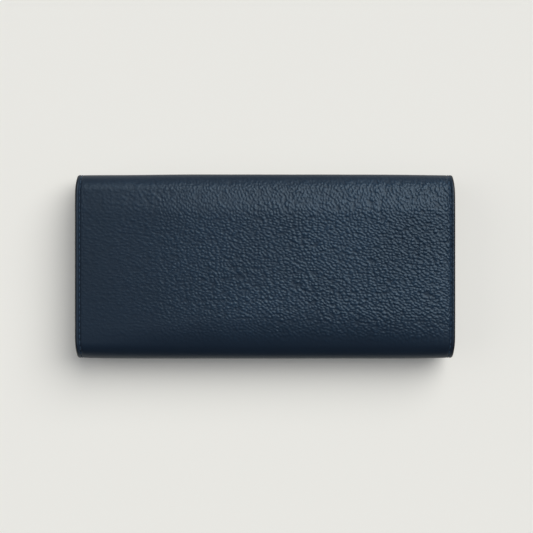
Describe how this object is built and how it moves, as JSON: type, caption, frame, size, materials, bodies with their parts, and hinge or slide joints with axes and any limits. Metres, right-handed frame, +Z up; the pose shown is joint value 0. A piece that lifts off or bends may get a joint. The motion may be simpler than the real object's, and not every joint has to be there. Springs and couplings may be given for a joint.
{
  "type": "long flap wallet",
  "caption": "Long leather wallet with a snap flap over two note compartments, a zipped coin pocket between them and card slots inside the flap.",
  "frame": {"origin": "under the middle of the closed wallet, on the surface that the flap rests on", "axes": "+X along the length, +Y towards the spine that joins the flap to the back, +Z up through the back panel"},
  "size_m": [0.19, 0.092, 0.0248],
  "materials": {
    "hide": "navy pebble-grained cowhide, satin",
    "card_leather": "navy smooth-grained leather, satin",
    "lining_leather": "navy split lining leather, matt",
    "pocket_leather": "navy thin leather, satin",
    "board": "pale bonded fibre board",
    "thread": "waxed polyester thread",
    "zip_tape": "woven polyester tape",
    "zip_teeth": "nickel-plated zip teeth",
    "zip_metal": "nickel-plated casting, polished",
    "snap_metal": "nickel-plated pressed brass"
  },
  "bodies": {
    "flap": {"flap_leather": "hide", "flap_board": "board", "flap_lining": "lining_leather", "card_strip_1": "card_leather", "card_strip_2": "card_leather", "card_strip_3": "card_leather", "flap_seam": "thread", "snap_socket": "snap_metal"},
    "spine": {"spine_leather": "hide", "spine_lining": "lining_leather"},
    "back": {"back_leather": "hide", "base_leather": "hide", "back_board": "board", "back_lining": "lining_leather", "base_lining": "lining_leather", "back_seam_left": "thread", "back_seam_right": "thread", "gusset_rear_left": "lining_leather", "gusset_rear_right": "lining_leather", "gusset_foot_left": "lining_leather", "gusset_foot_right": "lining_leather"},
    "coin_pocket": {"coin_wall_rear": "pocket_leather", "coin_wall_front": "pocket_leather", "coin_foot": "pocket_leather", "coin_end_left": "pocket_leather", "coin_end_right": "pocket_leather", "zip_tape_rear": "zip_tape", "zip_tape_front": "zip_tape", "zip_teeth_rear": "zip_teeth", "zip_teeth_front": "zip_teeth", "zip_tab_left": "card_leather", "zip_tab_right": "card_leather", "zip_stops": "zip_teeth", "gusset_front_left": "lining_leather", "gusset_front_right": "lining_leather"},
    "front": {"front_leather": "hide", "front_board": "board", "front_lining": "lining_leather", "snap_stud": "snap_metal", "front_seam": "thread"},
    "slider": {"zip_slider": "zip_metal"},
    "pull": {"zip_pull": "zip_metal", "pull_tab": "card_leather"}
  },
  "joints": [
    {"name": "flap_fold", "type": "hinge", "parent": "flap", "child": "spine", "pos_m": [0, 0.04373, 0.00227], "axis": [-1, 0, 0], "range_deg": [0, 90]},
    {"name": "spine_fold", "type": "hinge", "parent": "spine", "child": "back", "pos_m": [0, 0.04373, 0.02253], "axis": [-1, 0, 0], "range_deg": [0, 90]},
    {"name": "coin_pocket_swing", "type": "hinge", "parent": "back", "child": "coin_pocket", "pos_m": [0, -0.04373, 0.00627], "axis": [-1, 0, 0], "range_deg": [0, 6.1], "deforming": ["gusset_rear_left", "gusset_rear_right"]},
    {"name": "front_swing", "type": "hinge", "parent": "coin_pocket", "child": "front", "pos_m": [0, -0.04373, 0.00627], "axis": [-1, 0, 0], "range_deg": [0, 6.1], "deforming": ["gusset_front_left", "gusset_front_right"]},
    {"name": "zip_slide", "type": "slide", "parent": "coin_pocket", "child": "slider", "axis": [-1, 0, 0], "range_m": [0, 0.143], "deforming": ["zip_teeth_rear", "zip_teeth_front"]},
    {"name": "pull_lift", "type": "hinge", "parent": "slider", "child": "pull", "pos_m": [0.072, 0.0405, 0.0144], "axis": [0, 0, -1], "range_deg": [0, 45.5]}
  ],
  "couplings": [
    {"joint": "coin_pocket_swing", "follows": "spine_fold", "ratio": 0.066667},
    {"joint": "front_swing", "follows": "spine_fold", "ratio": 0.066667},
    {"joint": "pull_lift", "follows": "spine_fold", "ratio": 0.5}
  ]
}
